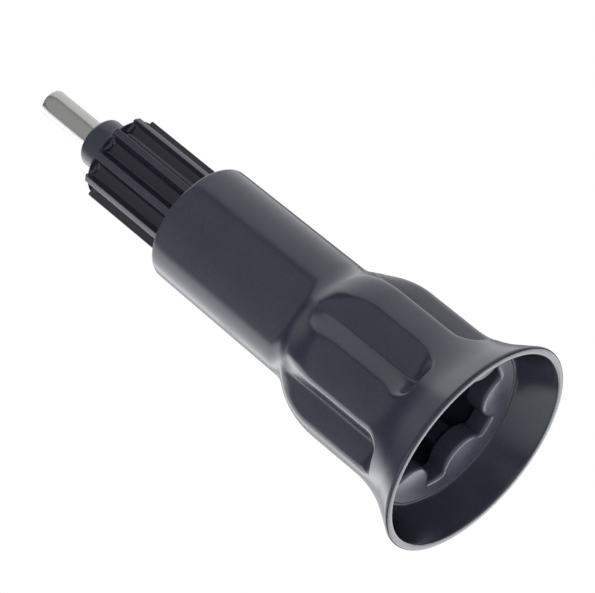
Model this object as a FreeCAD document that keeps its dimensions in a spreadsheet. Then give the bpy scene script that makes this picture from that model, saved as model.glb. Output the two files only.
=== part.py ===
"""Two-part drive spindle for a kitchen machine, as a parametric FreeCAD document.

A moulded sleeve with a flared bell mouth and six lobes takes the drive from below through a
six-pointed socket. A toothed shaft on a steel pin turns inside it in two plain bushes.
Millimetres, +Z up. The origin is the middle of the bell mouth, which is the plane z = 0.
"""
import FreeCAD, Part
import math
import os

import Sketcher
from FreeCAD import Placement, Rotation, Vector

os.makedirs("parts", exist_ok=True)
doc = FreeCAD.newDocument("drive_spindle")

# ---------------------------------------------------------------- driving dimensions
SIZES = {
    # bell sleeve, outside
    "RimRadius": 24.1,
    "RimFlat": 0.5,
    "LipRound": 0.6,
    "FlareAngle": 30.4,
    "FlareBlendShare": 0.587,
    "LobeRadius": 18.4,
    "ShoulderStart": 29.5,
    "ShoulderCrown": 18.2,
    "ShoulderHollow": 8.6,
    "SleeveRadius": 13.75,
    "SleeveDraft": 0.25,
    "SleeveTop": 80.5,
    "SleeveEdge": 0.8,
    # lobes and the grooves between them
    "LobeCount": 6,
    "LobeTurn": 8.5,
    "GrooveAngle": 33.0,
    "GrooveDepth": 3.2,
    "GrooveRound": 1.2,
    "GrooveRise": 3.5,
    "GrooveRunout": 4.0,
    # bell sleeve, inside
    "ToothClearance": 0.45,
    "BoreBottom": 28.0,
    "ChamberStep": 0.6,
    "LobeWall": 2.2,
    "CavityAngle": 34.0,
    "MouthStep": 0.6,
    "SeatStep": 0.1,
    "SeatDrop": 2.378,
    # star socket
    "FlangeThick": 1.0,
    "SocketDepth": 4.5,
    "PointWall": 1.4,
    "PointDepth": 4.8,
    "SocketPointAngle": 17.0,
    "KeyClearance": 0.15,
    # bushes and washers
    "BushLength": 11.0,
    "BushRun": 0.05,
    "FaceRun": 0.03,
    "UpperBushInset": 3.3,
    "LowerBushLift": 4.0,
    "WasherThick": 0.8,
    "WasherInset": 0.4,
    # toothed shaft
    "ToothCount": 10,
    "ToothRadius": 10.15,
    "ToothDepth": 2.45,
    "ToothLand": 9.5,
    "ToothReach": 24.5,
    "ToothChamfer": 0.5,
    "ToothTurn": 2.0,
    "WebThick": 0.4,
    "WebRise": 1.7,
    "JournalStep": 0.5,
    "JournalLap": 0.5,
    "ShaftOverhang": 4.0,
    "ShaftWall": 1.6,
    # snap ring in the shaft, under the lower bush
    "ClipThick": 0.9,
    "ClipDepth": 0.9,
    "ClipHeight": 1.6,
    "ClipGap": 0.05,
    # ring seal in the shaft, inside the upper bush
    "SealInset": 4.2,
    "SealSection": 0.75,
    "SealGap": 0.02,
    # collar and pin
    "CollarWall": 2.1,
    "CollarHeight": 7.0,
    "CollarEdge": 0.8,
    "PinRadius": 3.0,
    "PinReach": 15.5,
    "PinHold": 39.0,
    "PinChamfer": 0.45,
    "GripStep": 0.5,
    # lower drive insert
    "InsertLength": 12.0,
    "InsertFlats": 7.0,
    "InsertFlange": 1.2,
    "FlangeStep": 0.3,
    # how far a cutting tool runs past what it cuts
    "CutPast": 1.0,
}

sheet = doc.addObject("Spreadsheet::Sheet", "sizes")
for row, (alias, value) in enumerate(SIZES.items(), start=1):
    sheet.set("A%d" % row, alias)
    sheet.set("B%d" % row, str(value))
    sheet.setAlias("B%d" % row, alias)
doc.recompute()


def size(alias):
    """One driving size, read back from the sheet."""
    return float(sheet.get(alias))


def value(expression):
    """What an expression on the sheet comes to."""
    return float(sheet.evalExpression(expression))


# ---------------------------------------------------------------- sizes that follow from others
SLEEVE_BORE = "(sizes.ToothRadius + sizes.ToothClearance)"
CHAMBER_RADIUS = "(%s + sizes.ChamberStep)" % SLEEVE_BORE
LIP_OUT_RADIUS = "(sizes.RimRadius - sizes.LipRound * (1 - cos(sizes.FlareAngle)))"
LIP_OUT_HEIGHT = "(sizes.LipRound * (1 + sin(sizes.FlareAngle)))"
FLARE_RUN = "(%s - sizes.LobeRadius)" % LIP_OUT_RADIUS
FLARE_CORNER = "(%s + %s / tan(sizes.FlareAngle))" % (LIP_OUT_HEIGHT, FLARE_RUN)
SEAT_HEIGHT = "(%s - sizes.SeatDrop)" % FLARE_CORNER
SEAT_RADIUS = "(sizes.LobeRadius - sizes.SeatStep)"
GROOVE_FLOOR = "(sizes.LobeRadius - sizes.GrooveDepth)"
GROOVE_START = "(%s + sizes.GrooveRise)" % FLARE_CORNER
POINT_RADIUS = "(sizes.LobeRadius - sizes.LobeWall - sizes.PointWall)"
TOOTH_ROOT = "(sizes.ToothRadius - sizes.ToothDepth)"
WEB_RADIUS = "(%s + sizes.WebRise)" % TOOTH_ROOT
TOOTH_TOP = "(sizes.SleeveTop + sizes.ToothReach)"
JOURNAL = "(%s - sizes.JournalStep)" % TOOTH_ROOT
UPPER_BUSH_TOP = "(sizes.SleeveTop - sizes.UpperBushInset)"
LOWER_BUSH_BOTTOM = "(sizes.BoreBottom + sizes.LowerBushLift)"
UPPER_FACE = "(%s + sizes.FaceRun)" % UPPER_BUSH_TOP
LOWER_FACE = "(%s - sizes.FaceRun)" % LOWER_BUSH_BOTTOM
TEETH_BOTTOM = "(%s + sizes.WasherThick)" % UPPER_FACE
SHAFT_BOTTOM = "(sizes.BoreBottom - sizes.ShaftOverhang)"
CLIP_TOP = "(%s - sizes.WasherThick - sizes.ClipGap)" % LOWER_FACE
CLIP_BOTTOM = "(%s - sizes.ClipThick)" % CLIP_TOP
CLIP_FLOOR = "(%s - sizes.ClipDepth)" % JOURNAL
SEAL_RADIUS = "(%s + sizes.BushRun - sizes.SealGap - sizes.SealSection)" % JOURNAL
SEAL_HEIGHT = "(%s - sizes.SealInset)" % UPPER_BUSH_TOP
PIN_GRIP = "(sizes.PinRadius + sizes.GripStep)"
PIN_BOTTOM = "(%s - sizes.PinHold)" % TOOTH_TOP
COLLAR_RADIUS = "(%s + sizes.CollarWall)" % PIN_GRIP
COLLAR_TOP = "(%s + sizes.CollarHeight)" % TOOTH_TOP
PIN_TOP = "(%s + sizes.PinReach)" % COLLAR_TOP
INSERT_RADIUS = "(%s - sizes.ShaftWall)" % JOURNAL
INSERT_TOP = "(%s + sizes.InsertLength)" % SHAFT_BOTTOM
INSERT_BOTTOM = "(%s - sizes.InsertFlange)" % SHAFT_BOTTOM

# The middle of a quarter arc lies this share of its radius from the arc's centre, each way.
DIAGONAL = math.sin(math.radians(45))


# ---------------------------------------------------------------- small builders
NODES = []


def node(name, thing):
    """Give a finished object its node name, and its place unless the sheet places it."""
    thing.Label = name
    if not thing.ExpressionEngine:
        thing.Placement = Placement(Vector(0, 0, 0), Rotation())
    NODES.append((name, thing))
    return thing


def cylinder(name, radius, bottom, top):
    """A cylinder on the axis; radius, bottom and top are expressions on the sheet."""
    thing = doc.addObject("Part::Cylinder", name)
    thing.setExpression("Radius", radius)
    thing.setExpression("Height", "(%s) - (%s)" % (top, bottom))
    thing.setExpression("Placement.Base.z", bottom)
    return thing


def cut(name, base, tool):
    """Base minus tool."""
    thing = doc.addObject("Part::Cut", name)
    thing.Base = base
    thing.Tool = tool
    return thing


def fuse(name, shapes):
    """Several solids joined in one."""
    thing = doc.addObject("Part::MultiFuse", name)
    thing.Shapes = shapes
    thing.Refine = True
    return thing


def origin_plane(body, role):
    """One of a body's own origin planes."""
    return [f for f in body.Origin.OriginFeatures if f.Role == role][0]


def sketch_on(body, name, role):
    """An empty sketch on an origin plane of the body."""
    sketch = body.newObject("Sketcher::SketchObject", name)
    sketch.AttachmentSupport = [(origin_plane(body, role), "")]
    sketch.MapMode = "FlatFace"
    return sketch


def revolve(name, edges):
    """A solid of revolution from closed edges in the XZ plane."""
    face = Part.Face(Part.Wire(Part.__sortEdges__(edges)))
    thing = doc.addObject("Part::Feature", name)
    thing.Shape = face.revolve(Vector(0, 0, 0), Vector(0, 0, 1), 360)
    return thing


def at(radius, height):
    """A point of a section, at a radius and a height."""
    return Vector(radius, 0, height)


def line(start, end):
    """A straight edge."""
    return Part.makeLine(start, end)


def arc(start, middle, end):
    """A round edge through three points."""
    return Part.Arc(start, middle, end).toShape()


def polar(radius, degrees, height=0.0):
    """A point at an angle round the axis."""
    angle = math.radians(degrees)
    return Vector(radius * math.cos(angle), radius * math.sin(angle), height)


# ---------------------------------------------------------------- bell sleeve
def outer_section():
    """Half section of the sleeve's outside: cone, blend, lobes, shoulder, sleeve."""
    angle = math.radians(size("FlareAngle"))
    lip = size("LipRound")
    lobe = size("LobeRadius")
    foot = size("RimRadius") - lip
    lip_mid = at(foot + lip * DIAGONAL, lip - lip * DIAGONAL)
    lip_out = at(value(LIP_OUT_RADIUS), value(LIP_OUT_HEIGHT))

    corner = value(FLARE_CORNER)
    tangent = size("FlareBlendShare") * value(FLARE_RUN) / math.sin(angle)
    blend = tangent / math.tan(angle / 2)
    blend_top = at(lobe, corner + tangent)
    blend_low = at(lobe + tangent * math.sin(angle), corner - tangent * math.cos(angle))
    blend_mid = at(lobe + blend * (1 - math.cos(angle / 2)), blend_top.z - blend * math.sin(angle / 2))

    crown = size("ShoulderCrown")
    hollow = size("ShoulderHollow")
    start = size("ShoulderStart")
    drop = lobe - size("SleeveRadius")
    turn = math.acos(1 - drop / (crown + hollow))
    crown_end = at(lobe - crown * (1 - math.cos(turn)), start + crown * math.sin(turn))
    crown_mid = at(lobe - crown * (1 - math.cos(turn / 2)), start + crown * math.sin(turn / 2))
    top = start + (crown + hollow) * math.sin(turn)
    hollow_end = at(size("SleeveRadius"), top)
    hollow_mid = at(size("SleeveRadius") + hollow * (1 - math.cos(turn / 2)),
                    top - hollow * math.sin(turn / 2))

    edge = size("SleeveEdge")
    up = size("SleeveTop")
    sleeve = size("SleeveRadius") - size("SleeveDraft")
    bevel = edge * (1 - DIAGONAL)
    edge_low = at(sleeve, up - edge)
    edge_mid = at(sleeve - bevel, up - bevel)
    edge_top = at(sleeve - edge, up)
    axis_low = at(0, 0)
    return [
        line(axis_low, at(foot, 0)),
        arc(at(foot, 0), lip_mid, lip_out),
        line(lip_out, blend_low),
        arc(blend_low, blend_mid, blend_top),
        line(blend_top, at(lobe, start)),
        arc(at(lobe, start), crown_mid, crown_end),
        arc(crown_end, hollow_mid, hollow_end),
        line(hollow_end, edge_low),
        arc(edge_low, edge_mid, edge_top),
        line(edge_top, at(0, up)),
        line(at(0, up), axis_low),
    ]


def runout_region():
    """All that lies outside the grooves' floor, which rises in an arc at its lower end."""
    floor = value(GROOVE_FLOOR)
    start = value(GROOVE_START)
    run = size("GrooveRunout")
    outside = size("RimRadius") + size("CutPast")
    above = size("SleeveTop")
    low = at(floor + run, start - run)
    middle = at(floor + run * (1 - DIAGONAL), start - run * DIAGONAL)
    face = Part.Face(Part.Wire([
        line(at(floor, above), at(floor, start)),
        arc(at(floor, start), middle, low),
        line(low, at(outside, start - run)),
        line(at(outside, start - run), at(outside, above)),
        line(at(outside, above), at(floor, above)),
    ]))
    return face.revolve(Vector(0, 0, 0), Vector(0, 0, 1), 360)


def groove_cutters():
    """Six V grooves with round bottoms, one between each pair of lobes."""
    half = math.radians(size("GrooveAngle") / 2)
    floor = value(GROOVE_FLOOR)
    edge = Vector(size("LobeRadius") * math.cos(half), size("LobeRadius") * math.sin(half), 0)
    slope = math.atan2(edge.x - floor, edge.y)
    bottom = size("GrooveRound")
    # the flanks meet the bottom's arc where it is as steep as they are
    arc_end = Vector(floor + bottom * (1 - math.cos(slope)), bottom * math.sin(slope), 0)
    far = size("RimRadius") + size("CutPast")
    far_end = Vector(far, arc_end.y + (far - arc_end.x) / math.tan(slope), 0)
    other_arc_end = Vector(arc_end.x, -arc_end.y, 0)
    other_far_end = Vector(far, -far_end.y, 0)
    face = Part.Face(Part.Wire([
        line(far_end, arc_end),
        arc(arc_end, Vector(floor, 0, 0), other_arc_end),
        line(other_arc_end, other_far_end),
        line(other_far_end, far_end),
    ]))
    one = face.extrude(Vector(0, 0, size("SleeveTop"))).common(runout_region())
    pitch = 360 / int(size("LobeCount"))
    cutters = []
    for index in range(int(size("LobeCount"))):
        copy = one.copy()
        copy.rotate(Vector(0, 0, 0), Vector(0, 0, 1), size("LobeTurn") + pitch * (index + 0.5))
        cutters.append(copy)
    return cutters


def mouth_section():
    """Half section of the bell's hollow mouth, up to the seat of the star socket."""
    lip = size("LipRound")
    foot = size("RimRadius") - lip - size("RimFlat")
    height = value(SEAT_HEIGHT)
    seat = value(SEAT_RADIUS)
    mouth = seat + size("MouthStep")
    top = height + size("FlangeThick")
    lean = math.atan2(foot - lip - mouth, height - lip)
    lip_mid = at(foot - lip * DIAGONAL, lip - lip * DIAGONAL)
    lip_in = at(foot - lip * math.cos(lean), lip - lip * math.sin(lean))
    under = -size("CutPast")
    return [
        line(at(0, under), at(foot, under)),
        line(at(foot, under), at(foot, 0)),
        arc(at(foot, 0), lip_mid, lip_in),
        line(lip_in, at(mouth, height)),
        line(at(mouth, height), at(seat, height)),
        line(at(seat, height), at(seat, top)),
        line(at(seat, top), at(0, top)),
        line(at(0, top), at(0, under)),
    ]


def lobe_prisms(inset, depth):
    """Six wedges in the lobes above the seat: cavities, or the keys in them when inset."""
    inner = value(SLEEVE_BORE) - size("CutPast")
    outer = size("LobeRadius") - size("LobeWall") - inset
    half = size("CavityAngle") / 2 - math.degrees(inset / outer)
    bottom = value(SEAT_HEIGHT) + size("FlangeThick")
    prisms = []
    for index in range(int(size("LobeCount"))):
        middle = size("LobeTurn") + index * 360 / int(size("LobeCount"))
        corners = [polar(inner, middle - half, bottom), polar(outer, middle - half, bottom),
                   polar(outer, middle, bottom), polar(outer, middle + half, bottom),
                   polar(inner, middle + half, bottom)]
        edges = [line(corners[0], corners[1]), arc(corners[1], corners[2], corners[3]),
                 line(corners[3], corners[4]), line(corners[4], corners[0])]
        prisms.append(Part.Face(Part.Wire(edges)).extrude(Vector(0, 0, depth)))
    return prisms


def build_sleeve():
    """Outside minus grooves, mouth, bore and the hollow of each lobe."""
    envelope = revolve("sleeve_envelope", outer_section()).Shape
    lobed = envelope.cut(groove_cutters())
    mouth = revolve("sleeve_mouth", mouth_section()).Shape
    seat = value(SEAT_HEIGHT)
    bore = Part.makeCylinder(value(SLEEVE_BORE), size("SleeveTop"), at(0, 0))
    chamber = Part.makeCylinder(value(CHAMBER_RADIUS), size("BoreBottom") - seat, at(0, seat))
    cavities = lobe_prisms(0.0, size("ShoulderStart") - seat - size("FlangeThick"))
    hollow = mouth.fuse([bore, chamber] + cavities)
    thing = doc.addObject("Part::Feature", "bell_sleeve_solid")
    thing.Shape = lobed.cut(hollow).removeSplitter()
    return thing


node("bell_sleeve", build_sleeve())


# ---------------------------------------------------------------- star socket
def star_wire(height):
    """Six-pointed hole: round bumps between six pointed recesses, all corners arcs."""
    point = value(POINT_RADIUS)
    bump = point - size("PointDepth")
    half = size("SocketPointAngle") / 2
    pitch = 360 / int(size("LobeCount"))
    turn = size("LobeTurn")
    edges = []
    for index in range(int(size("LobeCount"))):
        middle = turn + index * pitch
        left = polar(point, middle - half, height)
        right = polar(point, middle + half, height)
        following = polar(point, middle + pitch - half, height)
        edges.append(arc(left, polar(point, middle, height), right))
        edges.append(arc(right, polar(bump, middle + pitch / 2, height), following))
    return Part.Wire(edges)


def build_socket():
    """A flanged disc with the star hole, and six keys that reach up in the lobes."""
    seat = value(SEAT_HEIGHT)
    depth = size("SocketDepth")
    past = size("CutPast")
    flange = Part.makeCylinder(value(SEAT_RADIUS), size("FlangeThick"), at(0, seat))
    hub = Part.makeCylinder(value(CHAMBER_RADIUS) - size("KeyClearance"), depth, at(0, seat))
    keys = lobe_prisms(size("KeyClearance"), depth - size("FlangeThick"))
    solid = flange.fuse([hub] + keys).removeSplitter()
    through = Part.Face(star_wire(seat - past)).extrude(Vector(0, 0, depth + 2 * past))
    thing = doc.addObject("Part::Feature", "drive_socket_solid")
    thing.Shape = solid.cut(through)
    return thing


node("drive_socket", build_socket())


# ---------------------------------------------------------------- bushes and washer
def ring(name, outer, inner, bottom, thick):
    """A flat-ended ring on the axis; every argument but the name is an expression."""
    top = "%s + %s" % (bottom, thick)
    disc = cylinder(name + "_disc", outer, bottom, top)
    hole = cylinder(name + "_hole", inner, bottom + " - sizes.CutPast", top + " + sizes.CutPast")
    return node(name, cut(name + "_solid", disc, hole))


def bush(name, bottom):
    """A plain bearing pressed in the sleeve's bore, with running room on the shaft."""
    return ring(name, SLEEVE_BORE, JOURNAL + " + sizes.BushRun", bottom, "sizes.BushLength")


def washer(name, bottom):
    """A flat ring that turns with the shaft against a bush's end face."""
    return ring(name, "sizes.ToothRadius - sizes.WasherInset", JOURNAL, bottom, "sizes.WasherThick")


bush("upper_bush", UPPER_BUSH_TOP + " - sizes.BushLength")
bush("lower_bush", LOWER_BUSH_BOTTOM)
washer("thrust_washer", UPPER_FACE)
washer("clip_washer", LOWER_FACE + " - sizes.WasherThick")


# ---------------------------------------------------------------- toothed shaft
def disc_sketch(body, name, radius, height):
    """A circle on the axis at a height; radius and height are expressions."""
    sketch = sketch_on(body, name, "XY_Plane")
    drawn = value(radius)
    sketch.addGeometry(Part.Circle(Vector(0, 0, 0), Vector(0, 0, 1), drawn), False)
    sketch.addConstraint(Sketcher.Constraint("Coincident", 0, 3, -1, 1))
    index = sketch.addConstraint(Sketcher.Constraint("Radius", 0, drawn))
    sketch.setExpression("Constraints[%d]" % index, radius)
    sketch.setExpression("AttachmentOffset.Base.z", height)
    return sketch


def pad(body, name, sketch, length):
    """Material added upward from a sketch."""
    feature = body.newObject("PartDesign::Pad", name)
    feature.Profile = sketch
    feature.setExpression("Length", length)
    return feature


def pocket(body, name, sketch, length):
    """Material cut downward from a sketch."""
    feature = body.newObject("PartDesign::Pocket", name)
    feature.Profile = sketch
    feature.setExpression("Length", length)
    doc.recompute()
    return feature


shaft = doc.addObject("PartDesign::Body", "spline_shaft_body")
pad(shaft, "tooth_blank", disc_sketch(shaft, "tooth_disc", "sizes.ToothRadius", TEETH_BOTTOM),
    "%s - %s" % (TOOTH_TOP, TEETH_BOTTOM))
doc.recompute()

# A valley is a round-bottomed flute: the circle through its floor and its two tooth corners.
half_valley = math.radians((360 / size("ToothCount") - size("ToothLand")) / 2)
corner_x = size("ToothRadius") * math.cos(half_valley)
corner_y = size("ToothRadius") * math.sin(half_valley)
root = value(TOOTH_ROOT)
valley_centre = (corner_x ** 2 + corner_y ** 2 - root ** 2) / (2 * (corner_x - root))
valley_turn = math.pi / size("ToothCount") + math.radians(size("ToothTurn"))
valley = sketch_on(shaft, "valley_circle", "XY_Plane")
valley.addGeometry(Part.Circle(Vector(valley_centre * math.cos(valley_turn),
                                      valley_centre * math.sin(valley_turn), 0),
                               Vector(0, 0, 1), valley_centre - root), False)
valley.setExpression("AttachmentOffset.Base.z", TOOTH_TOP + " + sizes.CutPast")
valley_cut = pocket(shaft, "valley", valley, "%s - %s + 2 * sizes.CutPast" % (TOOTH_TOP, TEETH_BOTTOM))
valleys = shaft.newObject("PartDesign::PolarPattern", "valleys")
valleys.Originals = [valley_cut]
valleys.Axis = (origin_plane(shaft, "Z_Axis"), [""])
valleys.Angle = 360
valleys.Occurrences = int(size("ToothCount"))
shaft.Tip = valleys
doc.recompute()

# A thin web closes each valley's end, a little above its floor.
web_disc = disc_sketch(shaft, "web_disc", WEB_RADIUS, TOOTH_TOP + " - sizes.WebThick")
pad(shaft, "tooth_web", web_disc, "sizes.WebThick")
pad(shaft, "journal", disc_sketch(shaft, "journal_disc", JOURNAL, SHAFT_BOTTOM),
    "%s + sizes.JournalLap - %s" % (TEETH_BOTTOM, SHAFT_BOTTOM))
doc.recompute()
pocket(shaft, "pin_bore", disc_sketch(shaft, "pin_bore_disc", PIN_GRIP, TOOTH_TOP), "sizes.PinHold")
insert_hole = pocket(shaft, "insert_bore",
                     disc_sketch(shaft, "insert_disc", INSERT_RADIUS, INSERT_TOP),
                     "sizes.InsertLength + sizes.CutPast")
shaft.Tip = insert_hole
doc.recompute()

clip_space = cylinder("clip_space", JOURNAL + " + sizes.CutPast", CLIP_BOTTOM, CLIP_TOP)
clip_floor = cylinder("clip_floor", CLIP_FLOOR, CLIP_BOTTOM + " - sizes.CutPast",
                      CLIP_TOP + " + sizes.CutPast")
clip_groove = cut("clip_groove", clip_space, clip_floor)


def seal_ring(name):
    """The ring seal's torus, which its groove shares."""
    thing = doc.addObject("Part::Torus", name)
    thing.setExpression("Radius1", SEAL_RADIUS)
    thing.setExpression("Radius2", "sizes.SealSection")
    thing.setExpression("Placement.Base.z", SEAL_HEIGHT)
    return thing


seal_groove = seal_ring("seal_groove")
grooves = fuse("shaft_grooves", [clip_groove, seal_groove])
grooved = cut("grooved_shaft", shaft, grooves)
CHAMFER_FOOT = TOOTH_TOP + " - sizes.ToothChamfer"
edge_cone = doc.addObject("Part::Cone", "tooth_end_cone")
edge_cone.setExpression("Radius1", "sizes.ToothRadius")
edge_cone.setExpression("Radius2", "sizes.ToothRadius - sizes.ToothChamfer")
edge_cone.setExpression("Height", "sizes.ToothChamfer")
edge_cone.setExpression("Placement.Base.z", CHAMFER_FOOT)
edge_keep = cylinder("tooth_end_keep", "sizes.ToothRadius", SHAFT_BOTTOM + " - sizes.CutPast", CHAMFER_FOOT)
edge_limit = fuse("tooth_end_limit", [edge_cone, edge_keep])
toothed = doc.addObject("Part::Common", "spline_shaft_solid")
toothed.Base = grooved
toothed.Tool = edge_limit
node("spline_shaft", toothed)


# ---------------------------------------------------------------- retaining clip
def build_clip():
    """A snap ring with a gap, seated in the shaft's groove under the lower bush."""
    thick = size("ClipThick")
    height = size("ClipHeight")
    centre = at(0, value(CLIP_BOTTOM))
    outer = Part.makeCylinder(value(JOURNAL) + height, thick, centre)
    inner = Part.makeCylinder(value(CLIP_FLOOR), thick, centre)
    gap = Part.makeBox(value(SLEEVE_BORE), 2 * height, thick, centre - Vector(0, height, 0))
    thing = doc.addObject("Part::Feature", "retaining_clip_solid")
    thing.Shape = outer.cut(inner).cut(gap)
    return thing


node("retaining_clip", build_clip())


# ---------------------------------------------------------------- ring seal
node("shaft_seal", seal_ring("shaft_seal_solid"))


# ---------------------------------------------------------------- collar and pin
collar_outer = cylinder("collar_outer", COLLAR_RADIUS, TOOTH_TOP, COLLAR_TOP)
collar_bore = cylinder("collar_bore", PIN_GRIP, TOOTH_TOP + " - sizes.CutPast",
                       COLLAR_TOP + " + sizes.CutPast")
doc.recompute()


SAME = 1e-6


def edge_at(thing, radius, height):
    """The number of the round edge of an object at a radius and a height."""
    for index, edge in enumerate(thing.Shape.Edges, start=1):
        round_edge = hasattr(edge.Curve, "Radius") and abs(edge.Curve.Radius - radius) < SAME
        if round_edge and abs(edge.BoundBox.ZMin - height) < SAME and edge.BoundBox.ZLength < SAME:
            return index
    raise ValueError("no edge on %s at %.2f, %.2f" % (thing.Name, radius, height))


collar_round = doc.addObject("Part::Fillet", "collar_round")
collar_round.Base = collar_outer
collar_end = edge_at(collar_outer, value(COLLAR_RADIUS), value(COLLAR_TOP))
collar_round.Edges = [(collar_end, size("CollarEdge"), size("CollarEdge"))]
node("pin_collar", cut("pin_collar_solid", collar_round, collar_bore))

pin_grip = cylinder("pin_grip", PIN_GRIP, PIN_BOTTOM, COLLAR_TOP)
pin_stem = cylinder("pin_stem", "sizes.PinRadius", PIN_BOTTOM, PIN_TOP)
doc.recompute()
pin_round = doc.addObject("Part::Chamfer", "pin_end")
pin_round.Base = pin_stem
pin_end = edge_at(pin_stem, size("PinRadius"), value(PIN_TOP))
pin_round.Edges = [(pin_end, size("PinChamfer"), size("PinChamfer"))]
node("centre_pin", fuse("centre_pin_solid", [pin_grip, pin_round]))

# ---------------------------------------------------------------- lower drive insert
insert_tube = cylinder("insert_tube", INSERT_RADIUS, SHAFT_BOTTOM, INSERT_TOP)
insert_flange = cylinder("insert_flange", JOURNAL + " - sizes.FlangeStep", INSERT_BOTTOM, SHAFT_BOTTOM)
insert_blank = fuse("insert_blank", [insert_tube, insert_flange])
insert_hex = doc.addObject("Part::Prism", "insert_hex")
insert_hex.Polygon = 6
insert_hex.setExpression("Circumradius", "sizes.InsertFlats / 2 / cos(30 deg)")
insert_hex.setExpression("Height", "sizes.InsertLength + sizes.InsertFlange + 2 * sizes.CutPast")
insert_hex.setExpression("Placement.Base.z", INSERT_BOTTOM + " - sizes.CutPast")
node("inner_drive_insert", cut("inner_drive_insert_solid", insert_blank, insert_hex))

# ---------------------------------------------------------------- checks and export
doc.recompute()
for thing in doc.Objects:
    for state in ("Invalid", "Error"):
        if state in thing.State:
            raise RuntimeError("%s is %s" % (thing.Name, state))
for name, thing in NODES:
    if thing.Shape.isNull() or not thing.Shape.isValid():
        raise RuntimeError("%s has no valid shape" % name)
for name, thing in NODES:
    box = thing.Shape.BoundBox
    thing.Shape.exportStep("parts/%s.step" % name)
    print("%-20s solids %d  volume %9.1f  z %.2f to %.2f" % (
        name, len(thing.Shape.Solids), thing.Shape.Volume, box.ZMin, box.ZMax))
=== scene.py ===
# %% [markdown]
# # A drive spindle, from its frame to its finish
# The frame holds twelve pieces on two bodies: a moulded sleeve with a bell mouth, and a toothed
# core that turns inside it. This notebook gives the five pieces that show their final surfaces,
# and gives all twelve their finishes.
# The first cell loads the frame.

# %% Load the frame
import math

import bpy
from mathutils import Matrix, Vector


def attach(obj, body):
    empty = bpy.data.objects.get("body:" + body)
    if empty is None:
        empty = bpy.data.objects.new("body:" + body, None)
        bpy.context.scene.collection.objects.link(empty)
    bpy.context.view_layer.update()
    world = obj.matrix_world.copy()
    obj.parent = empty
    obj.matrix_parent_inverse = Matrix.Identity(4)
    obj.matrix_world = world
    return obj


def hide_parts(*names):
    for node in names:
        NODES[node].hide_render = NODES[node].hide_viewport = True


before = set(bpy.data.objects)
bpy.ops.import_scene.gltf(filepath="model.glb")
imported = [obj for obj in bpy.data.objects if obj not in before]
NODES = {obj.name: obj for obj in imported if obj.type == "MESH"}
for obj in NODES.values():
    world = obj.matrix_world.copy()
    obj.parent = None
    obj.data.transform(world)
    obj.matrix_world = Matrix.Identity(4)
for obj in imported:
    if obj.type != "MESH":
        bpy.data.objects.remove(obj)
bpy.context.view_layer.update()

MM = 0.001

# %% [markdown]
# ## The camera
# The spindle is seen from beside and below its mouth, with its pin pointing away to the upper
# left. A long lens from about 0.7 m keeps the small object's perspective mild but true. The aim is
# written as two directions, forward and right, because the view is rolled about half way
# between upright and lying, and the roll is then plain to read.

# %% Camera
def look(name, place, forward, right, lens):
    """A camera at a place, with a forward and a right direction in the frame."""
    forward = Vector(forward).normalized()
    right = (Vector(right) - forward * forward.dot(Vector(right))).normalized()
    up = right.cross(forward)
    data = bpy.data.cameras.new(name)
    data.lens = lens
    data.sensor_width = 36.0
    data.clip_start = 0.05
    data.clip_end = 50.0
    camera = bpy.data.objects.new(name, data)
    bpy.context.scene.collection.objects.link(camera)
    basis = Matrix((right, up, -forward)).transposed()
    camera.matrix_world = Matrix.Translation(Vector(place)) @ basis.to_4x4()
    return camera


VIEW_TURN = math.radians(-2.0)
turn = Matrix.Rotation(VIEW_TURN, 3, "Z")
camera = look("camera", turn @ Vector((0.0011, -0.6054, -0.2758)),
              turn @ Vector((0.0, 0.8793, 0.4763)), turn @ Vector((0.6341, 0.3683, -0.6800)), 207.5)
bpy.context.scene.camera = camera
print("camera", [round(v, 3) for v in camera.location])

# %% [markdown]
# ## Light
# A moulded dark plastic shows its shape by what it reflects, so the light is a studio tent of
# soft panels: a broad one on the right, a bright one far round on the left, a dim one in front,
# with a dark gap between the front and the right panel that draws a fine line down the sleeve,
# faint ones behind and overhead, and low ones for the bell's face. Area lamps would do the same
# with more noise, so the panels are painted on the surround by direction.

# %% Light
class Graph:
    """Makes nodes in one tree, from a type, its settings and its sockets' values or links."""

    def __init__(self, tree):
        self.tree = tree
        tree.nodes.clear()

    def node(self, kind, settings=(), sockets=(), out=0):
        made = self.tree.nodes.new(kind)
        for name, value in dict(settings).items():
            setattr(made, name, value)
        for name, value in dict(sockets).items():
            socket = made.inputs[name]
            if isinstance(value, Wire):
                self.tree.links.new(value.socket, socket)
            else:
                socket.default_value = value
        return Wire(self, made.outputs[out]) if len(made.outputs) else made

    def math(self, operation, *values):
        return self.node("ShaderNodeMath", {"operation": operation}, dict(enumerate(values)))


class Wire:
    """A socket that can be added, multiplied and compared as a number."""

    def __init__(self, graph, socket):
        self.graph = graph
        self.socket = socket

    def of(self, name):
        return Wire(self.graph, self.socket.node.outputs[name])

    def __add__(self, other):
        return self.graph.math("ADD", self, other)

    def __sub__(self, other):
        return self.graph.math("SUBTRACT", self, other)

    def __rsub__(self, other):
        return self.graph.math("SUBTRACT", other, self)

    def __mul__(self, other):
        return self.graph.math("MULTIPLY", self, other)

    def __truediv__(self, other):
        return self.graph.math("DIVIDE", self, other)

    def between(self, low, high):
        """0 at low and beyond, 1 at high and beyond, smooth in the middle."""
        return self.graph.node("ShaderNodeMapRange", {"interpolation_type": "SMOOTHSTEP"},
                               {"Value": self, "From Min": low, "From Max": high})

    __radd__ = __add__
    __rmul__ = __mul__


def toward(azimuth, elevation):
    """A direction from compass-like angles in degrees, azimuth counted from +X to +Y."""
    a, e = math.radians(azimuth), math.radians(elevation)
    return Vector((math.cos(a) * math.cos(e), math.sin(a) * math.cos(e), math.sin(e)))


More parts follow.
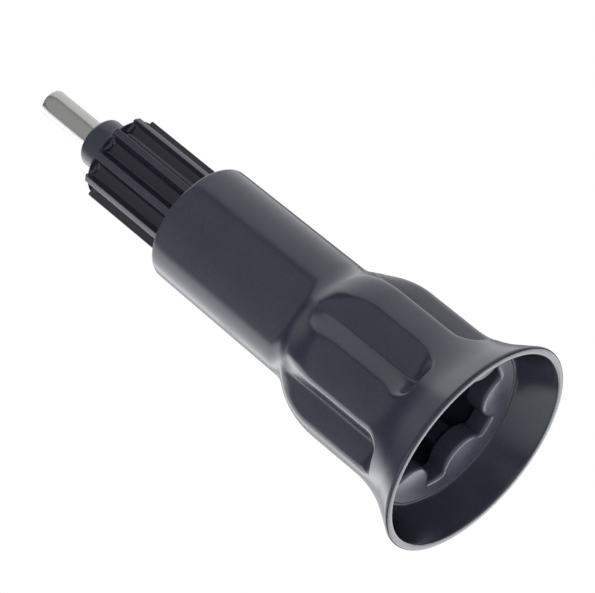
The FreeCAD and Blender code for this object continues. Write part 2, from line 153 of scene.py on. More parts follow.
SURROUND = 0.08
PANELS = {
    # name: azimuth, elevation, half width, half height, edge softness, strength
    # (half sizes are on a wall at unit distance, as a softbox would stand)
    "right": (12, 38, 0.90, 0.95, 0.06, 1.02),
    "left_back": (151, 26, 0.47, 0.50, 0.12, 2.1),
    "front": (250, 27, 1.45, 0.50, 0.10, 0.52),
    "back": (106, 34, 0.45, 0.50, 0.25, 0.8),
    "low_back": (90, -38, 0.85, 0.62, 0.14, 3.4),
    "low_left": (200, -14, 0.80, 0.26, 0.20, 1.3),
    "below": (300, -80, 1.10, 1.10, 0.30, 0.9),
    "top": (0, 84, 0.30, 0.45, 0.20, 0.5),
}
world = bpy.data.worlds.new("light_tent")
world.use_nodes = True
bpy.context.scene.world = world
tent = Graph(world.node_tree)
direction = tent.node("ShaderNodeTexCoord").of("Generated")


def panel_light(azimuth, elevation, half_width, half_height, soft, strength):
    """How much of one panel is seen in each direction."""
    ahead = toward(azimuth, elevation)
    side = toward(azimuth + 90, 0)
    above = ahead.cross(side)

    def along(axis):
        return tent.node("ShaderNodeVectorMath", {"operation": "DOT_PRODUCT"},
                         {0: direction, 1: axis}).of("Value")
    depth = tent.math("MAXIMUM", along(ahead), 0.001)
    across = tent.math("ABSOLUTE", along(side) / depth)
    high = tent.math("ABSOLUTE", along(above) / depth)
    in_width = across.between(half_width + soft, half_width - soft)
    in_height = high.between(half_height + soft, half_height - soft)
    return in_width * in_height * strength


glow = sum((panel_light(*panel) for panel in PANELS.values()), start=SURROUND)
seen = tent.node("ShaderNodeLightPath").of("Is Camera Ray")
tent_light = tent.node("ShaderNodeBackground", (), {"Color": (1, 1, 1.02, 1), "Strength": glow})
backdrop = tent.node("ShaderNodeBackground", (), {"Color": (1, 1, 1, 1), "Strength": 1.0})
mixed = tent.node("ShaderNodeMixShader", (), {0: seen, 1: tent_light, 2: backdrop})
tent.node("ShaderNodeOutputWorld", (), {"Surface": mixed})
bpy.context.scene.view_settings.view_transform = "Standard"
print("light panels", len(PANELS))

# %% [markdown]
# ## The floor
# A plain pale floor lies well below the spindle, because the view comes from below the mouth.

# %% Floor
FLOOR_DROP = 0.62
FLOOR_HALF = 3.0
floor_mesh = bpy.data.meshes.new("floor")
SQUARE = ((-1, -1), (1, -1), (1, 1), (-1, 1))
corners = [(x * FLOOR_HALF, y * FLOOR_HALF, -FLOOR_DROP) for x, y in SQUARE]
floor_mesh.from_pydata(corners, [], [(0, 1, 2, 3)])
floor = bpy.data.objects.new("floor", floor_mesh)
bpy.context.scene.collection.objects.link(floor)
floor_finish = bpy.data.materials.new("floor_paper")
floor_finish.use_nodes = True
paper = Graph(floor_finish.node_tree)
paper_shade = paper.node("ShaderNodeBsdfDiffuse", (), {"Color": (0.86, 0.86, 0.86, 1)})
paper.node("ShaderNodeOutputMaterial", (), {"Surface": paper_shade})
floor_mesh.materials.append(floor_finish)
floor.visible_glossy = False
floor.visible_diffuse = False
print("floor at", -FLOOR_DROP)

# %% [markdown]
# ## Surfaces by stations
# Every piece here is a ring, or a bar with capped ends: its section is walked station by station,
# and each station says the radius and the height at every angle. A lathe would do for the round
# ones, but lobes, grooves, teeth and the star hole change with the angle, and stations hold them
# all in one helper.

# %% Stations
import numpy as np

FULL = 2 * math.pi
SHARP = math.radians(38)


def ring(angles, radius, height):
    """One row of points, in mm; radius and height are each a number or one value per angle."""
    radius = np.broadcast_to(np.asarray(radius, float), (len(angles),))
    height = np.broadcast_to(np.asarray(height, float), (len(angles),))
    return np.stack([radius * np.cos(angles), radius * np.sin(angles), height], 1)


def rows_mesh(name, rows, body, closed=True):
    """A piece from rows of points; the last row joins the first, or both are capped."""
    columns = len(rows[0])
    faces = []
    last = len(rows) if closed else len(rows) - 1
    for row in range(last):
        low, high = row * columns, ((row + 1) % len(rows)) * columns
        for column in range(columns):
            after = (column + 1) % columns
            faces.append((low + column, low + after, high + after, high + column))
    if not closed:
        faces.append(tuple(range(columns))[::-1])
        faces.append(tuple(range((len(rows) - 1) * columns, len(rows) * columns)))
    mesh = bpy.data.meshes.new(name)
    mesh.from_pydata((np.concatenate(rows) * MM).tolist(), [], faces)
    mesh.update()
    mesh.shade_smooth()
    mesh.set_sharp_from_angle(angle=SHARP)
    piece = bpy.data.objects.new(name, mesh)
    bpy.context.scene.collection.objects.link(piece)
    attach(piece, body)
    print(name, "rows", len(rows), "faces", len(faces))
    return piece


def ring_mesh(name, angles, stations, body, closed=True):
    """A piece from stations of (radius, height)."""
    return rows_mesh(name, [ring(angles, *station) for station in stations], body, closed)


def sweep(centre, radius, start, end, steps):
    """Stations round part of a circle of the section, angles in degrees from outward to up."""
    turns = np.radians(np.linspace(start, end, steps))
    return [(centre[0] + radius * math.cos(t), centre[1] + radius * math.sin(t)) for t in turns]


def straight(start, end, steps):
    """Stations along a straight stretch, without its first point."""
    parts = np.linspace(0, 1, steps + 1)[1:]
    return [(start[0] + (end[0] - start[0]) * p, start[1] + (end[1] - start[1]) * p) for p in parts]


def spline_through(corners, count):
    """A smooth line drawn by a cubic B-spline's corner points."""
    corners = np.asarray(corners, float)
    corners = np.concatenate([corners[:1]] * 2 + [corners] + [corners[-1:]] * 2)
    spans = len(corners) - 3
    line = []
    for place in np.linspace(0, spans - 1e-9, count):
        span = int(place)
        u = place - span
        weights = np.array([(1 - u) ** 3, 3 * u ** 3 - 6 * u ** 2 + 4,
                            -3 * u ** 3 + 3 * u ** 2 + 3 * u + 1, u ** 3]) / 6
        line.append(weights @ corners[span:span + 4])
    return np.array(line)


print("helpers ready")

# %% [markdown]
# ## The bell sleeve
# One moulding: a cone with a rounded lip, six lobes with a wide V groove between each pair, a
# soft shoulder and a plain sleeve. The grooves' bottoms and edges are rounded, which boolean
# cuts followed by bevels make badly here, so the outline across one groove is drawn as a
# smooth line and carried down the sleeve while its floor and crest radii change.

# %% Bell sleeve sizes
LOBES = 6
RIM, LIP, RIM_FLAT = 24.1, 0.6, 0.5
FLARE = math.radians(30.4)
FLARE_BLEND = 24.0
LOBE_RADIUS = 18.4
SHOULDER_START, CROWN, HOLLOW = 29.5, 18.2, 8.6
SLEEVE_RADIUS, SLEEVE_TOP_RADIUS, SLEEVE_TOP, SLEEVE_EDGE = 13.75, 13.5, 80.5, 0.8
LOBE_TURN = math.radians(8.5)
GROOVE_FLOOR, GROOVE_START, GROOVE_RUN = 15.25, 13.98, 4.0
RUNOUT_SLOPE, FLOOR_EASE, FOOT_NARROWING = 6, 0.7, 0.7
MOUTH_RADIUS, SEAT_RADIUS, SEAT_HEIGHT, FLANGE = 18.9, 18.3, 8.1, 1.0
BORE, CHAMBER, BORE_BOTTOM, BORE_CHAMFER = 10.6, 11.2, 28.0, 0.3
CAVITY_RADIUS, CAVITY_HALF, CAVITY_EASE = 16.2, math.radians(17), 0.02
EDGE, SEAT_EASE = 0.1, 0.08

foot = RIM - LIP
lip_end = (foot + LIP * math.cos(FLARE), LIP + LIP * math.sin(FLARE))
cone_corner = lip_end[1] + (lip_end[0] - LOBE_RADIUS) / math.tan(FLARE)
blend_reach = FLARE_BLEND * math.tan(FLARE / 2)
blend_low = cone_corner - blend_reach * math.cos(FLARE)
blend_top = cone_corner + blend_reach
shoulder_turn = math.acos(1 - (LOBE_RADIUS - SLEEVE_RADIUS) / (CROWN + HOLLOW))
crown_end = SHOULDER_START + CROWN * math.sin(shoulder_turn)
shoulder_end = SHOULDER_START + (CROWN + HOLLOW) * math.sin(shoulder_turn)
print("shoulder ends at", round(shoulder_end, 2), "mm")


def crest(z):
    """Outer radius over the middle of a lobe."""
    if z < blend_low:
        return lip_end[0] - (z - lip_end[1]) * math.tan(FLARE)
    if z < blend_top:
        return LOBE_RADIUS + FLARE_BLEND - math.sqrt(FLARE_BLEND ** 2 - (blend_top - z) ** 2)
    if z < SHOULDER_START:
        return LOBE_RADIUS
    if z < crown_end:
        return LOBE_RADIUS - CROWN + math.sqrt(CROWN ** 2 - (z - SHOULDER_START) ** 2)
    if z < shoulder_end:
        return SLEEVE_RADIUS + HOLLOW - math.sqrt(HOLLOW ** 2 - (shoulder_end - z) ** 2)
    share = (z - shoulder_end) / (SLEEVE_TOP - shoulder_end)
    return SLEEVE_RADIUS + (SLEEVE_TOP_RADIUS - SLEEVE_RADIUS) * share


def soft_min(a, b, width):
    """The smaller of two numbers, rounded where they cross."""
    mix = max(width - abs(a - b), 0) / width
    return min(a, b) - mix * mix * width / 4


def floor_radius(z):
    """Radius at the bottom of a groove, with its steep run-out in the flare."""
    depth = GROOVE_START - z
    if depth <= 0:
        rise = 0.0
    elif depth < GROOVE_RUN:
        rise = GROOVE_RUN - math.sqrt(GROOVE_RUN ** 2 - depth ** 2)
    else:
        rise = GROOVE_RUN + (depth - GROOVE_RUN) * RUNOUT_SLOPE
    return soft_min(GROOVE_FLOOR + rise, crest(z), FLOOR_EASE)


# %% Bell sleeve outline across one groove
# (distance along the lobe's surface from the groove's middle, share of the way up to the crest)
GROOVE_LINE = [(0, 0), (0.4, 0.015), (0.85, 0.08), (1.6, 0.22), (3.2, 0.51), (4.2, 0.725),
               (4.8, 0.84), (5.4, 0.93), (6.0, 0.98), (6.7, 0.998), (7.5, 1.0)]
half_line = spline_through(GROOVE_LINE, 40)
half_pitch = math.pi / LOBES
crest_angles = np.linspace(half_line[-1, 0] / LOBE_RADIUS, half_pitch, 12)[1:]
side_angles = np.concatenate([half_line[:, 0] / LOBE_RADIUS, crest_angles])
pitch_angles = np.concatenate([-side_angles[::-1][1:-1], side_angles])
sleeve_angles = np.concatenate([pitch_angles + half_pitch * (2 * k + 1) + LOBE_TURN for k in range(LOBES)])
from_groove = np.tile(np.abs(pitch_angles), LOBES) * LOBE_RADIUS


def groove_height(z):
    """Share of the way from floor to crest at every angle; the groove's foot is round in plan."""
    depth = np.clip((GROOVE_START + 1 - z) / (GROOVE_RUN + 1), 0, 1)
    width = math.sqrt(1 - FOOT_NARROWING * depth ** 2)
    return np.interp(from_groove / width, half_line[:, 0], half_line[:, 1])


print("columns", len(sleeve_angles))

# %% Bell sleeve surface
# rows lie closest where the grooves end in the flare, and close over the shoulder
FOOT_LOW, FOOT_HIGH, CROWN_LOW, CROWN_HIGH = 9.6, 16.0, 29.0, 46.0
outer_heights = np.concatenate([
    np.arange(lip_end[1] + 0.4, FOOT_LOW, 0.4), np.arange(FOOT_LOW, FOOT_HIGH, 0.08),
    np.arange(FOOT_HIGH, CROWN_LOW, 0.8), np.arange(CROWN_LOW, CROWN_HIGH, 0.25),
    np.arange(CROWN_HIGH, SLEEVE_TOP - SLEEVE_EDGE - 1, 2.0)])
top_radius = crest(SLEEVE_TOP) - SLEEVE_EDGE
from_lobe = np.abs((sleeve_angles - LOBE_TURN + half_pitch) % (2 * half_pitch) - half_pitch)
in_cavity = np.clip((CAVITY_HALF + CAVITY_EASE - from_lobe) / (2 * CAVITY_EASE), 0, 1)
in_cavity = in_cavity * in_cavity * (3 - 2 * in_cavity)


def inner(plain, share=1.0):
    """Radius inside the sleeve: a plain one, moved by a share to the cavity's within each lobe."""
    return plain + share * (CAVITY_RADIUS - plain) * in_cavity


mouth_lean = math.atan2(foot - RIM_FLAT - LIP - MOUTH_RADIUS, SEAT_HEIGHT - LIP)
lip_inner = (foot - RIM_FLAT - LIP * math.cos(mouth_lean), LIP - LIP * math.sin(mouth_lean))
stations = sweep((foot, LIP), LIP, -90, math.degrees(FLARE), 9)
for z in outer_heights:
    low, high = floor_radius(z), crest(z)
    stations.append((low + (high - low) * groove_height(z), z))
stations += sweep((top_radius, SLEEVE_TOP - SLEEVE_EDGE), SLEEVE_EDGE, 0, 90, 8)
stations += straight((top_radius, SLEEVE_TOP), (BORE + BORE_CHAMFER, SLEEVE_TOP), 3)
stations += straight((BORE + BORE_CHAMFER, SLEEVE_TOP), (BORE, SLEEVE_TOP - BORE_CHAMFER), 2)
stations += straight((BORE, SLEEVE_TOP - BORE_CHAMFER), (BORE, SHOULDER_START + EDGE), 6)
stations += [(inner(BORE, share), SHOULDER_START) for share in (0.0, 0.3, 0.6, 0.9, 1.0)]
stations += [(inner(BORE), BORE_BOTTOM + EDGE), (inner(CHAMBER), BORE_BOTTOM)]
stations += [(inner(CHAMBER), z) for z in np.linspace(BORE_BOTTOM - 1, SEAT_HEIGHT + FLANGE + EDGE, 10)]
stations += [(inner(CHAMBER), SEAT_HEIGHT + FLANGE), (SEAT_RADIUS, SEAT_HEIGHT + FLANGE)]
stations += [(SEAT_RADIUS, SEAT_HEIGHT + SEAT_EASE), (SEAT_RADIUS + SEAT_EASE, SEAT_HEIGHT)]
stations += [(MOUTH_RADIUS - 0.12, SEAT_HEIGHT), (MOUTH_RADIUS, SEAT_HEIGHT - EDGE)]
stations += straight((MOUTH_RADIUS, SEAT_HEIGHT - EDGE), lip_inner, 16)
stations += sweep((foot - RIM_FLAT, LIP), LIP, 180 + math.degrees(mouth_lean), 270, 8)[1:]
bell_sleeve = ring_mesh("bell_sleeve_moulding", sleeve_angles, stations, "sleeve")
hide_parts("bell_sleeve")

# %% [markdown]
# ## The star socket
# A disc pressed in the bell, with a hole that has six narrow points and six round bumps
# between them. Each bump's lip is well rounded. The hole's outline is made once, as arcs with
# eased corners, and moved outward along its own normals to make the rounded lip.

# %% Star socket outline
BUMP_RADIUS, POINT_RADIUS = 10.0, 14.8
POINT_HALF = math.radians(8.5)
SOCKET_DEPTH = 4.5
STAR_LIP = 0.9
FIT_GAP = 0.04
KEY_GAP, KEY_EASE, LEAST_WALL = 0.15, 0.01, 0.5
FACE_RADII, WALL_HEIGHTS = (17.6, 17.0, 16.4), (10.0, 11.0)
HOLE_EASE = 0.2


def arc_through(a, b, c, steps):
    """Points on the circle through three plan points, from the first by the second to the third."""
    (ax, ay), (bx, by), (cx, cy) = a, b, c
    aa, bb, cc = ax ** 2 + ay ** 2, bx ** 2 + by ** 2, cx ** 2 + cy ** 2
    double_area = 2 * (ax * (by - cy) + bx * (cy - ay) + cx * (ay - by))
    x = (aa * (by - cy) + bb * (cy - ay) + cc * (ay - by)) / double_area
    y = (aa * (cx - bx) + bb * (ax - cx) + cc * (bx - ax)) / double_area
    start, middle, end = (math.atan2(point[1] - y, point[0] - x) for point in (a, b, c))
    middle = start + (middle - start + math.pi) % FULL - math.pi
    end = middle + (end - middle + math.pi) % FULL - math.pi
    turns = np.linspace(start, end, steps)
    radius = math.hypot(ax - x, ay - y)
    return np.stack([x + radius * np.cos(turns), y + radius * np.sin(turns)], 1)


def plan(radius, angle):
    """A plan point at a radius and an angle."""
    return radius * math.cos(angle), radius * math.sin(angle)


star = []
for k in range(LOBES):
    middle = LOBE_TURN + 2 * half_pitch * k
    point_arc = arc_through(plan(POINT_RADIUS, middle - POINT_HALF), plan(POINT_RADIUS, middle),
                            plan(POINT_RADIUS, middle + POINT_HALF), 23)
    bump_arc = arc_through(plan(POINT_RADIUS, middle + POINT_HALF), plan(BUMP_RADIUS, middle + half_pitch),
                           plan(POINT_RADIUS, middle + 2 * half_pitch - POINT_HALF), 61)
    star += [point_arc[:-1], bump_arc[:-1]]
star = np.concatenate(star)
for _ in range(10):
    star = (np.roll(star, 1, 0) + 2 * star + np.roll(star, -1, 0)) / 4
along = np.roll(star, -1, 0) - np.roll(star, 1, 0)
star_out = np.stack([along[:, 1], -along[:, 0]], 1) / np.linalg.norm(along, axis=1)[:, None]
print("star outline points", len(star))


# %% Star socket surface
def star_ring(offset, height):
    """The star outline at a height, moved outward by an offset."""
    moved = star + star_out * offset
    return np.stack([moved[:, 0], moved[:, 1], np.full(len(moved), height)], 1)


star_angles = np.arctan2(star[:, 1], star[:, 0])


def round_ring(radius, height):
    """A circle, or one radius per angle, at the star outline's own angles."""
    return ring(star_angles, radius, height)


socket_top = SEAT_HEIGHT + SOCKET_DEPTH
key_span = np.abs((star_angles - LOBE_TURN + half_pitch) % (2 * half_pitch) - half_pitch)
key_share = np.clip((CAVITY_HALF - KEY_EASE - key_span) / (2 * KEY_EASE), 0, 1)
key_radius = CHAMBER - KEY_GAP + (CAVITY_RADIUS - CHAMBER) * key_share
key_radius = np.maximum(key_radius, np.hypot(star[:, 0], star[:, 1]) + LEAST_WALL)
disc = SEAT_RADIUS - FIT_GAP
# round the disc's rim, in across its face, over the rounded lip, up the hole and back by the keys
rings = [round_ring(disc, SEAT_HEIGHT + FLANGE), round_ring(disc, SEAT_HEIGHT + EDGE),
         round_ring(disc - EDGE, SEAT_HEIGHT)]
rings += [round_ring(radius, SEAT_HEIGHT) for radius in FACE_RADII]
for t in np.radians(np.linspace(90, 0, 9)):
    rings.append(star_ring(STAR_LIP * (1 - math.cos(t)), SEAT_HEIGHT + STAR_LIP * (1 - math.sin(t))))
rings += [star_ring(0, height) for height in (*WALL_HEIGHTS, socket_top - HOLE_EASE)]
rings += [star_ring(HOLE_EASE, socket_top)]
rings += [round_ring(key_radius - EDGE, socket_top), round_ring(key_radius, socket_top - EDGE),
          round_ring(key_radius, SEAT_HEIGHT + FLANGE)]
rings = rings[::-1]
drive_socket = rows_mesh("drive_socket_disc", rings, "sleeve")
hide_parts("drive_socket")

# %% [markdown]
# ## The toothed shaft
# Ten teeth with round-bottomed valleys that a thin web closes at the pin end. The edges of each
# tooth are slightly eased, because that is where real moulded teeth catch the light.

# %% Toothed shaft outline
TEETH = 10
TOOTH_RADIUS, TOOTH_ROOT = 10.15, 7.7
LAND_HALF = math.radians(9.5) / 2
TOOTH_TURN = math.radians(2.0)
TOOTH_TOP, TOOTH_BOTTOM, TOOTH_EASE, TOOTH_BEVEL = 105.0, 78.03, 0.15, 0.45
WEB, WEB_RADIUS, WEB_EASE, VALLEY_END = 0.35, 9.4, 0.06, 1.5
END_HEIGHT, LEAST_BEVEL = 0.29, 0.35
JOURNAL, SHAFT_BOTTOM = 7.2, 24.0
CLIP_FLOOR, CLIP_LOW, CLIP_HIGH = 6.3, 30.22, 31.12
GRIP_RADIUS, GRIP_END = 3.5, 66.0
INSERT_RADIUS, INSERT_TOP = 5.6, 36.0
AXIS_HOLE = 0.4
EASE = 0.2
half_tooth = math.pi / TEETH
corner = plan(TOOTH_RADIUS, half_tooth - LAND_HALF)
valley_centre = (corner[0] ** 2 + corner[1] ** 2 - TOOTH_ROOT ** 2) / (2 * (corner[0] - TOOTH_ROOT))
valley_radius = valley_centre - TOOTH_ROOT
valley = arc_through((corner[0], -corner[1]), (TOOTH_ROOT, 0), corner, 61)
land_turns = np.linspace(half_tooth - LAND_HALF, half_tooth + LAND_HALF, 21)
land = np.stack([TOOTH_RADIUS * np.cos(land_turns), TOOTH_RADIUS * np.sin(land_turns)], 1)
pitch_line = np.concatenate([valley[:-1], land[:-1]])
pitch_lines = []
for k in range(TEETH):
    turned = half_tooth * (2 * k + 1) + TOOTH_TURN
    c, s = math.cos(turned), math.sin(turned)
    pitch_lines.append(np.stack([pitch_line[:, 0] * c - pitch_line[:, 1] * s,
                                 pitch_line[:, 0] * s + pitch_line[:, 1] * c], 1))
outline = np.concatenate(pitch_lines)
for _ in range(2):
    outline = (np.roll(outline, 1, 0) + 2 * outline + np.roll(outline, -1, 0)) / 4
tooth_angles = np.unwrap(np.arctan2(outline[:, 1], outline[:, 0]))
tooth_radii = np.hypot(outline[:, 0], outline[:, 1])
print("valley radius", round(valley_radius, 2), "columns", len(tooth_angles))

# %% Toothed shaft surface
# from the lower end: journal with the clip's groove, teeth, web, then the pin's hole back down
web_under = TOOTH_TOP - WEB
web_radii = np.maximum(tooth_radii, WEB_RADIUS)
out_past_web = (web_radii - WEB_RADIUS) / (TOOTH_RADIUS - WEB_RADIUS)
end_bevel = np.clip(out_past_web, LEAST_BEVEL, 1.0) * TOOTH_BEVEL
shaft_rows = [(JOURNAL, SHAFT_BOTTOM + EASE), (JOURNAL, CLIP_LOW - 0.02), (CLIP_FLOOR, CLIP_LOW),
              (CLIP_FLOOR, CLIP_HIGH), (JOURNAL, CLIP_HIGH + 0.03)]
shaft_rows += [(JOURNAL, z) for z in np.linspace(33, TOOTH_BOTTOM - EASE, 12)]
shaft_rows += [(JOURNAL + EASE, TOOTH_BOTTOM), (tooth_radii - TOOTH_EASE, TOOTH_BOTTOM),
               (tooth_radii, TOOTH_BOTTOM + TOOTH_EASE)]
shaft_rows += [(tooth_radii, z) for z in np.linspace(TOOTH_BOTTOM + 2, web_under - VALLEY_END, 12)]
for t in np.radians(np.linspace(0, 90, 11))[1:]:
    raised = np.minimum(tooth_radii + VALLEY_END * (1 - math.cos(t)), web_radii - WEB_EASE)
    raised = np.maximum(raised, tooth_radii)
    shaft_rows.append((raised, web_under - VALLEY_END + VALLEY_END * math.sin(t)))
shaft_rows += [(np.maximum(web_radii - 0.05, tooth_radii), web_under + 0.005),
               (web_radii, web_under + WEB_EASE)]
for t in np.radians(np.linspace(0, 90, 6)):
    shaft_rows.append((web_radii - end_bevel * (1 - math.cos(t)), TOOTH_TOP - END_HEIGHT * (1 - math.sin(t))))
shaft_rows += [(web_radii - 1.2, TOOTH_TOP), (6.0, TOOTH_TOP), (GRIP_RADIUS + 0.3, TOOTH_TOP)]
shaft_rows += [(GRIP_RADIUS, TOOTH_TOP - 0.3), (GRIP_RADIUS, GRIP_END), (AXIS_HOLE, GRIP_END - EASE)]
shaft_rows += [(AXIS_HOLE, INSERT_TOP + EASE), (INSERT_RADIUS, INSERT_TOP),
               (INSERT_RADIUS, SHAFT_BOTTOM + EASE)]
shaft_rows += [(INSERT_RADIUS + EASE, SHAFT_BOTTOM), (JOURNAL - EASE, SHAFT_BOTTOM)]
spline_shaft = ring_mesh("spline_shaft_teeth", tooth_angles, shaft_rows, "core")
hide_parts("spline_shaft")

# %% [markdown]
# ## Collar and pin
# Both are turned shapes: a collar with a rounded shoulder, and a ground pin with a small
# chamfer whose corners are broken.

# %% Collar and pin surfaces
round_angles = np.linspace(0, FULL, 97)[:-1]
COLLAR_RADIUS, COLLAR_TOP, COLLAR_EDGE = 5.6, 112.0, 0.9
COLLAR_FOOT = 0.15
collar_rows = [(GRIP_RADIUS, TOOTH_TOP), (COLLAR_RADIUS - COLLAR_FOOT, TOOTH_TOP),
               (COLLAR_RADIUS, TOOTH_TOP + COLLAR_FOOT)]
edge_height = COLLAR_TOP - COLLAR_EDGE
collar_rows += straight((COLLAR_RADIUS, TOOTH_TOP + COLLAR_FOOT), (COLLAR_RADIUS, edge_height), 4)
collar_rows += sweep((COLLAR_RADIUS - COLLAR_EDGE, edge_height), COLLAR_EDGE, 0, 90, 9)[1:]
collar_rows += [(GRIP_RADIUS + EASE, COLLAR_TOP), (GRIP_RADIUS, COLLAR_TOP - EASE)]
pin_collar = ring_mesh("pin_collar_ring", round_angles, collar_rows, "core")
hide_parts("pin_collar")

PIN_RADIUS, PIN_TOP, PIN_CHAMFER, CHAMFER_EASE = 3.0, 127.5, 0.45, 0.03
GRIP_GAP, GRIP_TOP = 0.01, 111.7
pin_rows = [(GRIP_RADIUS - EASE, GRIP_END), (GRIP_RADIUS - GRIP_GAP, GRIP_END + EASE),
            (GRIP_RADIUS - GRIP_GAP, GRIP_TOP - EASE), (GRIP_RADIUS - 0.1, GRIP_TOP),
            (PIN_RADIUS + 0.1, GRIP_TOP)]
pin_rows += straight((PIN_RADIUS, GRIP_TOP + 0.1), (PIN_RADIUS, PIN_TOP - PIN_CHAMFER - 0.1), 8)
pin_rows += [(PIN_RADIUS - CHAMFER_EASE, PIN_TOP - PIN_CHAMFER),
             (PIN_RADIUS - PIN_CHAMFER + CHAMFER_EASE, PIN_TOP - CHAMFER_EASE),
             (PIN_RADIUS - PIN_CHAMFER - 0.08, PIN_TOP)]
centre_pin = ring_mesh("centre_pin_ground", round_angles, pin_rows, "core", closed=False)
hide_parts("centre_pin")

# %% [markdown]
# ## Finishes
# The sleeve is a glossy moulded plastic with a very fine mottle, faint broad clouds and rubbed
# patches. The shaft is a darker, violet-black plastic, and a painted shade darkens its tooth valleys.
# The pin is ground steel, with fine lines round it. The inner pieces are dark steel and plastic,
# made near-black as a painted shade for the deep star hole. Object coordinates are used throughout,
# because they are real metres.

# %% Moulded plastic
def finish(name, build):
    """A new material whose Principled shader is set up by a function."""
    material = bpy.data.materials.new(name)
    material.use_nodes = True
    graph = Graph(material.node_tree)
    where = graph.node("ShaderNodeTexCoord").of("Object")
    sockets = build(graph, where)
    shader = graph.node("ShaderNodeBsdfPrincipled", (), sockets)
    graph.node("ShaderNodeOutputMaterial", (), {"Surface": shader})
    return material


def noise(graph, where, scale, detail=3.0, roughness=0.55):
    """Noise in real metres: scale is its features per metre."""
    return graph.node("ShaderNodeTexNoise", (), {"Vector": where, "Scale": scale, "Detail": detail,
                                                 "Roughness": roughness})


def blend(graph, factor, first, second):
    """A colour between two, by a number; each is a colour with alpha, or a wire."""
    return graph.node("ShaderNodeMix", {"data_type": "RGBA"}, {"Factor": factor, 6: first, 7: second}, out=2)


# painted valley shade: each channel of the dark shade is scaled by these, darker and more violet
PAINTED_SHADE_SHARE = (0.28, 0.26, 0.48)


def moulded(dark, light, gloss, mottle_height, painted_shade_radii=None):
    """A moulded plastic between two close shades, with a fine mottle in colour and surface.

    The last argument is a radius pair in metres: nearer the axis than these the colour is darkened
    and turned violet, a painted shade for the valleys of moulded teeth.
    """
    def build(graph, where):
        fine = noise(graph, where, 1900.0, 4.0, 0.7)
        broad = noise(graph, where, 120.0, 3.0)
        factor = fine * 0.55 + broad * 0.45
        rub = noise(graph, where, 55.0, 4.0, 0.6).between(0.5, 0.68)
        rough = gloss + fine * 0.05 + rub * 0.09
        bump = graph.node("ShaderNodeBump", (), {"Height": fine * mottle_height + broad * mottle_height * 4,
                                                 "Strength": 0.35, "Distance": 0.001})
        colour = blend(graph, factor.between(0.3, 0.7), (*dark, 1), (*light, 1))
        # painted shade: the colour turns darker and more violet towards the axis, in the tooth valleys
        if painted_shade_radii:
            split = graph.node("ShaderNodeSeparateXYZ", (), {"Vector": where})
            from_axis = graph.math("SQRT", split.of("X") * split.of("X") + split.of("Y") * split.of("Y"))
            painted_valley_colour = [shade * share for shade, share in zip(dark, PAINTED_SHADE_SHARE)]
            colour = blend(graph, from_axis.between(*painted_shade_radii), (*painted_valley_colour, 1), colour)
        return {"Base Color": colour, "Roughness": rough, "Normal": bump, "IOR": 1.5}
    return build


SLEEVE_DARK, SLEEVE_LIGHT = (0.038, 0.045, 0.071), (0.053, 0.061, 0.092)
SOCKET_DARK, SOCKET_LIGHT = (0.078, 0.088, 0.122), (0.096, 0.108, 0.148)
SHAFT_DARK, SHAFT_LIGHT = (0.046, 0.045, 0.070), (0.058, 0.056, 0.084)
# radii in metres where the shaft's painted valley shade fades into its own colour
PAINTED_SHADE_SPAN = (0.0080, 0.0098)
sleeve_plastic = finish("sleeve_plastic_finish", moulded(SLEEVE_DARK, SLEEVE_LIGHT, 0.17, 0.012))
socket_plastic = finish("socket_plastic_finish", moulded(SOCKET_DARK, SOCKET_LIGHT, 0.24, 0.005))
shaft_plastic = finish("shaft_plastic_finish", moulded(SHAFT_DARK, SHAFT_LIGHT, 0.17, 0.003, PAINTED_SHADE_SPAN))
collar_plastic = finish("collar_plastic_finish", moulded(SLEEVE_DARK, SLEEVE_LIGHT, 0.26, 0.01))
print("plastics ready")


# %% Steel
LINE_STRETCH = 0.15


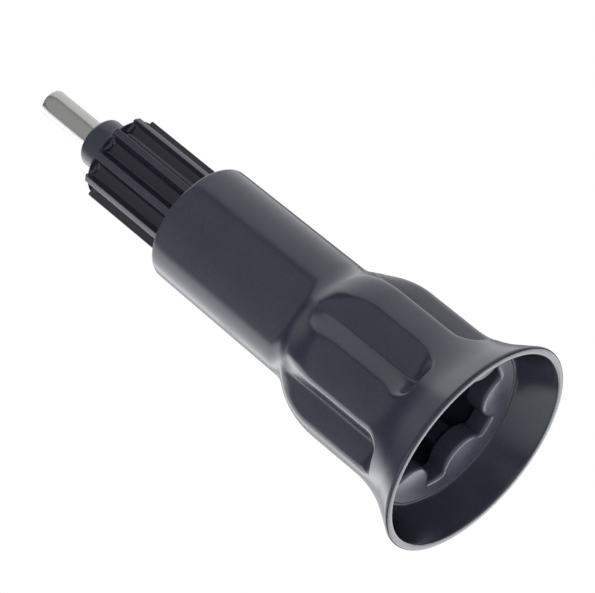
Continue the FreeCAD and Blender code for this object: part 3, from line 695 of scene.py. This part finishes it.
def ground_steel(shade, gloss, lines):
    """Ground steel with fine turned lines round its length."""
    def build(graph, where):
        split = graph.node("ShaderNodeSeparateXYZ", (), {"Vector": where})
        across, over = split.of("X") * LINE_STRETCH, split.of("Y") * LINE_STRETCH
        drawn = graph.node("ShaderNodeCombineXYZ", (), {"X": across, "Y": over, "Z": split.of("Z")})
        scratch = noise(graph, drawn, lines, 3.0)
        patch = noise(graph, where, 300.0)
        bump = graph.node("ShaderNodeBump", (), {"Height": scratch * 0.003, "Strength": 0.08,
                                                 "Distance": 0.001})
        darker = tuple(v * 0.93 for v in shade)
        colour = blend(graph, scratch * 0.6 + patch * 0.4, (*darker, 1), (*shade, 1))
        return {"Base Color": colour, "Metallic": 1.0, "Roughness": gloss + scratch * 0.05, "Normal": bump}
    return build


pin_steel = finish("pin_steel_finish", ground_steel((0.43, 0.43, 0.41), 0.20, 6000.0))
# the inner pieces, seen only through the star hole: dark steel and plastic, made near-black as a painted
# shade so the hole reads dark
dark_steel_hole_shade = finish("dark_steel_hole_shade_finish", ground_steel((0.07, 0.07, 0.072), 0.42, 3000.0))
BUSH_SHADE_DARK, BUSH_SHADE_LIGHT = (0.010, 0.010, 0.011), (0.016, 0.016, 0.017)
bush_plastic_hole_shade = finish("bush_plastic_hole_shade_finish", moulded(BUSH_SHADE_DARK, BUSH_SHADE_LIGHT, 0.45, 0.01))
print("steels ready")

# %% Give every piece its finish
PIECE_FINISH = {bell_sleeve: sleeve_plastic, drive_socket: socket_plastic, spline_shaft: shaft_plastic,
                pin_collar: collar_plastic, centre_pin: pin_steel}
NODE_FINISH = {"upper_bush": bush_plastic_hole_shade, "lower_bush": bush_plastic_hole_shade, "thrust_washer": bush_plastic_hole_shade,
               "retaining_clip": dark_steel_hole_shade, "clip_washer": bush_plastic_hole_shade, "shaft_seal": bush_plastic_hole_shade,
               "inner_drive_insert": dark_steel_hole_shade}
for piece, material in PIECE_FINISH.items():
    piece.data.materials.append(material)
for name, material in NODE_FINISH.items():
    node_mesh = NODES[name].data
    if not node_mesh.materials:
        node_mesh.materials.append(material)
    for slot in NODES[name].material_slots:
        slot.material = material
print("finished pieces", len(PIECE_FINISH) + len(NODE_FINISH))
